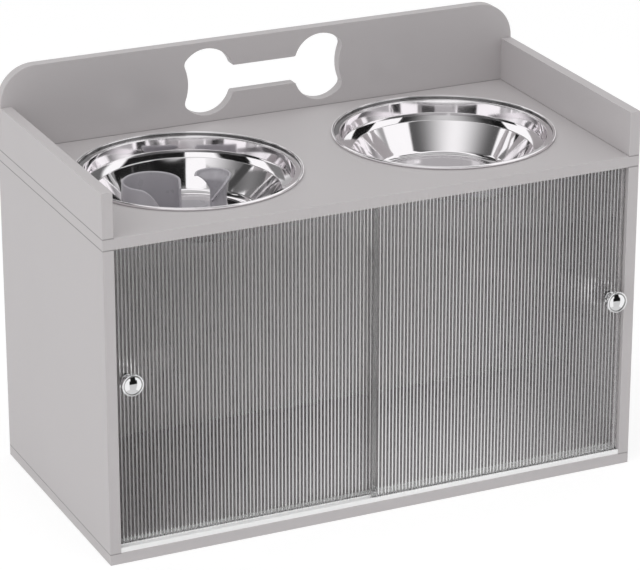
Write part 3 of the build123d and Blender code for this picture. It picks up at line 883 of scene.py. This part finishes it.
LEFT_BOWL_BOARDS = (
    (-46, -15, 4, 11, 4, 11, 0.18, 0.18, 1),
    (-12, 0.5, 9, 16, 12, 19, 1.0, 1.0, 0.5),
    (0.5, 21.5, 12, 20, 12, 20, 0.012, 0.012, 0.5),
    (21.5, 34, 12, 21, 12, 21, 1.0, 1.0, 0.5),
    (31, 44, 12, 20, 12, 20, 0.01, 0.01, 3),
    (43.5, 51, 12, 19, 11, 18, 1.0, 1.0, 0.5),
    (51, 58, 11, 17, 7, 13, 0.2, 0.2, 1),
    (58, 90, 9, 18, 26, 37, 0.01, 0.01, 1),
    (89, 125, 26, 37, 41, 51, 0.01, 0.01, 1),
    (124, 197, 41, 51, 45, 64, 0.01, 0.01, 1),
    (196, 246, 43, 62, 43, 62, 1.0, 1.0, 1),
    (244, 302, 41, 56, 19, 37, 0.30, 0.12, 3),
    (300, 358, 19, 37, 0, 11, 0.12, 0.20, 3),
    (-70, 2, 24, 33, 24, 33, 0.06, 0.06, 1.5),
    (-75, 125, 1, 3.6, 1, 3.6, 1.0, 1.0, 0.3),
    (2, 60, 24, 33, 24, 33, 0.1, 0.1, 1.5),
    (-5, 55, 43, 52, 43, 52, 0.65, 0.65, 1.5),
)
# Radius of each set's sphere in metres, and how much nearer each card stands than the one before it.
FAR_RADIUS, FAR_STEP = 3.0, 0.02
BOWL_RADIUS, KNOB_RADIUS, NEAR_STEP = 0.1285, 0.016, 0.0002
BOARD_COLUMNS, BOARD_ROWS = 33, 13
FAR_MIDDLE = (0, 0, 0.35)

# How far the floor reaches from the middle, its own light and that light's share of what is seen.
FLOOR_REACH, FLOOR_GLOW, FLOOR_GLOW_SHARE = 12.0, 1.2, 0.6
# The front card: how far it reaches to each side, its near and far edge, and its height over the floor.
CARD_WIDE, CARD_NEAR, CARD_FAR, CARD_HEIGHT = 6.0, -0.16, -4.0, 0.002
# How aslant its tones lie, half the stretch over which they change, and where its middle tones stand.
CARD_SLANT, CARD_HALF, CARD_STOPS = 0.52, 0.3, (0.4, 0.72)
LAMP_TARGET = (0, 0, 0.25)
# The camera's place in metres, how far it looks down and how far it turns, in degrees, and its sensor.
CAMERA_PLACE = (-1.34207, -2.90810, 1.46608)
CAMERA_DOWN, CAMERA_TURN, SENSOR = 21.537, -24.811, 36.0


def board_patch(board, middle, radius):
    """A patch of a sphere, p = middle + radius (cos e sin a, cos e cos a, sin e), and its UV."""
    first, last, low_first, high_first, low_last, high_last = (math.radians(part) for part in board[:6])
    across = np.linspace(0, 1, BOARD_COLUMNS)[:, None]
    up = np.linspace(0, 1, BOARD_ROWS)[None, :]
    azimuth = first + (last - first) * across
    low = low_first + (low_last - low_first) * across
    high = high_first + (high_last - high_first) * across
    elevation = low + (high - low) * up
    level = radius * np.cos(elevation)
    x = middle[0] + level * np.sin(azimuth)
    y = middle[1] + level * np.cos(azimuth)
    z = middle[2] + radius * np.sin(elevation)
    uv = np.stack(np.broadcast_arrays(across, up), axis=-1)
    return np.stack([x, y, z], axis=-1).reshape(-1, 3), uv.reshape(-1, 2)


def from_middle(tree, value, start, end, low, high):
    """Maps the distance of a value from one half, start to end, onto low to high, by a smooth step."""
    off = calculate(tree, "ABSOLUTE", calculate(tree, "SUBTRACT", value, 0.5))
    return spread(tree, off, low, high, start, end, kind="SMOOTHSTEP")


def card_look(card, material):
    """Gives a card its material, and hides it from the camera, diffuse light and shadows."""
    card.data.materials.append(material)
    card.visible_camera = False
    card.visible_diffuse = False
    card.visible_shadow = False


def studio_board(name, board, middle, radius):
    """One card with soft edges, seen only in reflections."""
    points, uv = board_patch(board, middle, radius)
    made = mesh_object(name, (points / MM, [grid_faces(BOARD_COLUMNS, BOARD_ROWS)]))
    made.visible_transmission = False
    layer = made.data.uv_layers.new(name="board")
    corners = np.empty(len(made.data.loops), np.int32)
    made.data.loops.foreach_get("vertex_index", corners)
    layer.data.foreach_set("uv", uv[corners].astype(np.float32).ravel())
    material, tree, shader = new_material(name)
    tree.nodes.remove(shader)
    first, last, low, high, _, _, side_tone, middle_tone, soft = board
    where = parts_of(tree, add_node(tree, "ShaderNodeUVMap", uv_map="board").outputs["UV"])
    across = from_middle(tree, where["X"], 0.5 - soft / (last - first), 0.5, 1, 0)
    up = from_middle(tree, where["Y"], 0.5 - min(0.3, soft / (high - low)), 0.5, 1, 0)
    tone = from_middle(tree, where["X"], 0.0, 0.45, middle_tone, side_tone)
    cover = calculate(tree, "MULTIPLY", across, up)
    show(tree, blend(tree, cover, clear_shader(tree), glow_shader(tree, tone)))
    card_look(made, material)


def front_card(settings):
    """A grey card on the floor in front of the feeder, seen in the doors' flutes.

    The flutes send the view aslant to the floor, so the tones lie along x + slant y."""
    low, high = (-CARD_WIDE, CARD_FAR), (CARD_WIDE, CARD_NEAR)
    card = level_sheet("front_card", low, high, CARD_HEIGHT)
    material, tree, shader = new_material("front_card")
    tree.nodes.remove(shader)
    where = parts_of(tree, object_place(tree))
    across = calculate(tree, "MULTIPLY_ADD", where["Y"], CARD_SLANT, where["X"])
    middle = CARD_SLANT * CARD_NEAR
    share = spread(tree, across, 0.0, 1.0, middle - CARD_HALF, middle + CARD_HALF)
    ramp = add_node(tree, "ShaderNodeValToRGB", {"Fac": share})
    stops = ramp.color_ramp.elements
    for place in CARD_STOPS:
        stops.new(place)
    tones = (settings.card_left, settings.card_middle, settings.card_bright, settings.card_right)
    for stop, tone in zip(stops, tones):
        stop.color = (tone, tone, tone, 1)
    show(tree, glow_shader(tree, ramp.outputs["Color"]))
    card_look(card, material)


def white_floor(settings):
    """A white floor that takes the feeder's shadow and glows for what the camera sees."""
    made = level_sheet("floor", (-FLOOR_REACH, -FLOOR_REACH), (FLOOR_REACH, FLOOR_REACH), 0)
    material, tree, shader = new_material("floor_white")
    feed(tree, settings.floor, shader.inputs["Base Color"])
    shader.inputs["Roughness"].default_value = 0.9
    shader.inputs["Specular IOR Level"].default_value = 0.0
    share = calculate(tree, "MULTIPLY", seen_rays(tree), FLOOR_GLOW_SHARE)
    show(tree, blend(tree, share, shader.outputs["BSDF"], glow_shader(tree, (1, 1, 1), FLOOR_GLOW)))
    made.data.materials.append(material)


def white_world(scene, ambient):
    """White surroundings that light the feeder only at the ambient level."""
    scene.world = bpy.data.worlds.new("studio")
    scene.world.use_nodes = True
    tree = scene.world.node_tree
    ground = tree.nodes["Background"]
    feed(tree, (1, 1, 1), ground.inputs["Color"])
    feed(tree, spread(tree, seen_rays(tree), ambient, 1.0), ground.inputs["Strength"])


def area_lamp(name, place, target, size, watts):
    """A soft rectangular lamp that faces a target; the camera and mirrors don't see it."""
    data = bpy.data.lights.new(name, "AREA")
    data.shape = "RECTANGLE"
    data.size, data.size_y = size
    data.energy = watts
    lamp = bpy.data.objects.new(name, data)
    bpy.context.collection.objects.link(lamp)
    x, y, z = (goal - start for goal, start in zip(target, place))
    lamp.location = place
    lamp.rotation_euler = (math.atan2(math.hypot(x, y), -z), 0, math.atan2(y, x) - math.pi / 2)
    lamp.visible_camera = False
    lamp.visible_glossy = False


def cards():
    """All the cards that only reflections show."""
    for index, board in enumerate(FAR_BOARDS):
        studio_board(f"far_board_{index}", board, FAR_MIDDLE, FAR_RADIUS - FAR_STEP * index)
    feeding_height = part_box("top_board")[1][2]
    for node, boards in (("left_bowl", LEFT_BOWL_BOARDS), ("right_bowl", RIGHT_BOWL_BOARDS)):
        x, y, _ = middle_of(node)
        for index, board in enumerate(boards):
            radius = BOWL_RADIUS - NEAR_STEP * index
            studio_board(f"{node}_board_{index}", board, (x, y, feeding_height), radius)
    for node in ("left_knob", "right_knob"):
        x, _, z = middle_of(node)
        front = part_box(node)[0][1]
        for index, board in enumerate(KNOB_BOARDS):
            radius = KNOB_RADIUS - NEAR_STEP * index
            studio_board(f"{node}_board_{index}", board, (x, front, z), radius)


def camera(scene, lens):
    """A camera to the left in front, that looks down at the feeder."""
    data = bpy.data.cameras.new("camera")
    data.lens = lens
    data.sensor_width = SENSOR
    data.clip_start, data.clip_end = 0.05, 60.0
    made = bpy.data.objects.new("camera", data)
    bpy.context.collection.objects.link(made)
    made.location = CAMERA_PLACE
    made.rotation_euler = (math.radians(90 - CAMERA_DOWN), 0, math.radians(CAMERA_TURN))
    scene.camera = made


# ---- Operators ----
class FEEDER_OT_stage(bpy.types.Operator):
    """Makes the floor, the lamps, the surroundings and the camera"""

    bl_idname = "feeder.stage"
    bl_label = "Stage"

    def execute(self, context):
        settings = context.scene.feeder_stage
        white_floor(settings)
        white_world(context.scene, settings.ambient)
        area_lamp("key_lamp", (-2.2, -1.2, 2.4), LAMP_TARGET, (1.6, 1.6), settings.key)
        area_lamp("side_lamp", (-2.6, -0.4, 0.9), LAMP_TARGET, (1.6, 1.6), settings.side)
        area_lamp("top_lamp", (0, -0.3, 2.6), (0, 0, 0.3), (1.8, 1.8), settings.top)
        area_lamp("low_lamp", (0, -0.9, 0.12), (0, -0.15, 0.15), (1.4, 0.25), settings.low)
        cards()
        front_card(settings)
        camera(context.scene, settings.lens)
        context.scene.view_settings.view_transform = "Standard"
        return {"FINISHED"}


class FEEDER_OT_boards(bpy.types.Operator):
    """Gives the boards their laminate and the back panel its painted hardboard"""

    bl_idname = "feeder.boards"
    bl_label = "Boards"

    def execute(self, context):
        settings = context.scene.feeder_boards
        level_boards = ["bottom_board", "top_board"]
        upright_boards = ["left_side_panel", "right_side_panel", "splash_board"]
        guards = ["left_guard", "right_guard"]
        dress(level_boards + upright_boards + guards, laminate(settings))
        dress(["back_panel"], hardboard(settings))
        return {"FINISHED"}


class FEEDER_OT_tracks(bpy.types.Operator):
    """Gives the two door tracks their white plastic"""

    bl_idname = "feeder.tracks"
    bl_label = "Tracks"

    def execute(self, context):
        dress(["lower_track", "upper_track"], white_plastic())
        return {"FINISHED"}


class FEEDER_OT_doors(bpy.types.Operator):
    """Makes the two fluted acrylic doors"""

    bl_idname = "feeder.doors"
    bl_label = "Doors"

    def execute(self, context):
        settings = context.scene.feeder_doors
        material = acrylic(settings)
        for side in ("left", "right"):
            node = side + "_door"
            low, high = box_mm(node)
            door = fluted_door(side + "_fluted_door", low, high, settings)
            finish_piece(door, material, side + "_sliding_door", node)
        return {"FINISHED"}


class FEEDER_OT_bowls(bpy.types.Operator):
    """Makes the two stepped steel bowls"""

    bl_idname = "feeder.bowls"
    bl_label = "Bowls"

    def execute(self, context):
        settings = context.scene.feeder_bowls
        material = polished_steel(settings)
        profile = bowl_profile(settings)
        for side in ("left", "right"):
            node = side + "_bowl"
            low, high = box_mm(node)
            seat = high[2] - 2 * settings.bead
            place = (*((low + high) / 2)[:2], seat)
            bowl = mesh_object(side + "_steel_bowl", turned_shape(profile, BOWL_STEPS, place))
            finish_piece(bowl, material, side + "_food_bowl", node)
        return {"FINISHED"}


class FEEDER_OT_insert(bpy.types.Operator):
    """Makes the slow feeder insert: a round plate with two curled ribs"""

    bl_idname = "feeder.insert"
    bl_label = "Insert"

    def execute(self, context):
        settings = context.scene.feeder_insert
        low, high = box_mm("slow_feeder_insert")
        bowl_low, bowl_high = box_mm("left_bowl")
        place = np.array([*((bowl_low + bowl_high) / 2)[:2], low[2]])
        shapes = [turned_shape(round_plate(settings), PLATE_STEPS, place)]
        for rib in (LEFT_RIB, RIGHT_RIB):
            points, faces = curled_rib(rib, high[2] - low[2], settings)
            shapes.append((points + place, faces))
        insert = mesh_object("slow_feeder_maze", *shapes, sharp=40.0)
        plastic = insert_plastic(settings)
        finish_piece(insert, plastic, "slow_feeder", "slow_feeder_insert")
        return {"FINISHED"}


class FEEDER_OT_knobs(bpy.types.Operator):
    """Makes the two chromed door knobs"""

    bl_idname = "feeder.knobs"
    bl_label = "Knobs"

    def execute(self, context):
        settings = context.scene.feeder_knobs
        material = chrome(settings)
        profile = knob_profile(settings)
        axis_to_front = ((1, 0, 0), (0, 0, -1), (0, 1, 0))
        for side in ("left", "right"):
            node = side + "_knob"
            low, high = box_mm(node)
            middle = (low + high) / 2
            place = (middle[0], high[1], middle[2])
            shape = turned_shape(profile, KNOB_STEPS, place, axis_to_front)
            knob = mesh_object(side + "_chrome_knob", shape, sharp=50.0)
            finish_piece(knob, material, side + "_sliding_door", node)
        return {"FINISHED"}


class FEEDER_OT_fixings(bpy.types.Operator):
    """Gives screws, washers, dowels, cams and their bolts their finishes"""

    bl_idname = "feeder.fixings"
    bl_label = "Fixings"

    def execute(self, context):
        zinc = plated_metal("zinc_screw", (0.62, 0.62, 0.62), 0.32)
        cast = plated_metal("cast_cam", (0.52, 0.52, 0.53), 0.45)
        dress(["base_screws", "guard_screws", "splash_screws", "cam_bolts"], zinc)
        dress(["left_knob_screw", "right_knob_screw"], zinc)
        dress(["cam_locks"], cast)
        dress(["carcass_dowels"], beech())
        dress(["left_knob_washer", "right_knob_washer"], rubber())
        return {"FINISHED"}


class FEEDER_PT_panel(bpy.types.Panel):
    """Lists the feeder's settings and operators"""

    bl_label = "Raised dog feeder"
    bl_idname = "FEEDER_PT_panel"
    bl_space_type = "VIEW_3D"
    bl_region_type = "UI"
    bl_category = "Feeder"

    def draw(self, context):
        for group, operator in STEPS:
            box = self.layout.box()
            box.operator(operator)
            settings = getattr(context.scene, group, None)
            for key in getattr(type(settings), "__annotations__", {}):
                box.prop(settings, key)


GROUPS = {
    "feeder_stage": FeederStage,
    "feeder_boards": FeederBoards,
    "feeder_doors": FeederDoors,
    "feeder_bowls": FeederBowls,
    "feeder_insert": FeederInsert,
    "feeder_knobs": FeederKnobs,
}
# The settings of each operator, empty where it has none, and the operators in their order.
STEPS = (
    ("feeder_stage", "feeder.stage"),
    ("feeder_boards", "feeder.boards"),
    ("", "feeder.tracks"),
    ("feeder_doors", "feeder.doors"),
    ("feeder_bowls", "feeder.bowls"),
    ("feeder_insert", "feeder.insert"),
    ("feeder_knobs", "feeder.knobs"),
    ("", "feeder.fixings"),
)
OPERATORS = (
    FEEDER_OT_stage,
    FEEDER_OT_boards,
    FEEDER_OT_tracks,
    FEEDER_OT_doors,
    FEEDER_OT_bowls,
    FEEDER_OT_insert,
    FEEDER_OT_knobs,
    FEEDER_OT_fixings,
)


def register():
    for kind in (*GROUPS.values(), *OPERATORS, FEEDER_PT_panel):
        bpy.utils.register_class(kind)
    for name, kind in GROUPS.items():
        setattr(bpy.types.Scene, name, PointerProperty(type=kind))


def unregister():
    for name in GROUPS:
        delattr(bpy.types.Scene, name)
    for kind in (FEEDER_PT_panel, *OPERATORS[::-1], *list(GROUPS.values())[::-1]):
        bpy.utils.unregister_class(kind)


def main():
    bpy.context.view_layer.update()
    register()
    for _, operator in STEPS:
        group, name = operator.split(".")
        getattr(getattr(bpy.ops, group), name)()


if __name__ == "__main__":
    main()
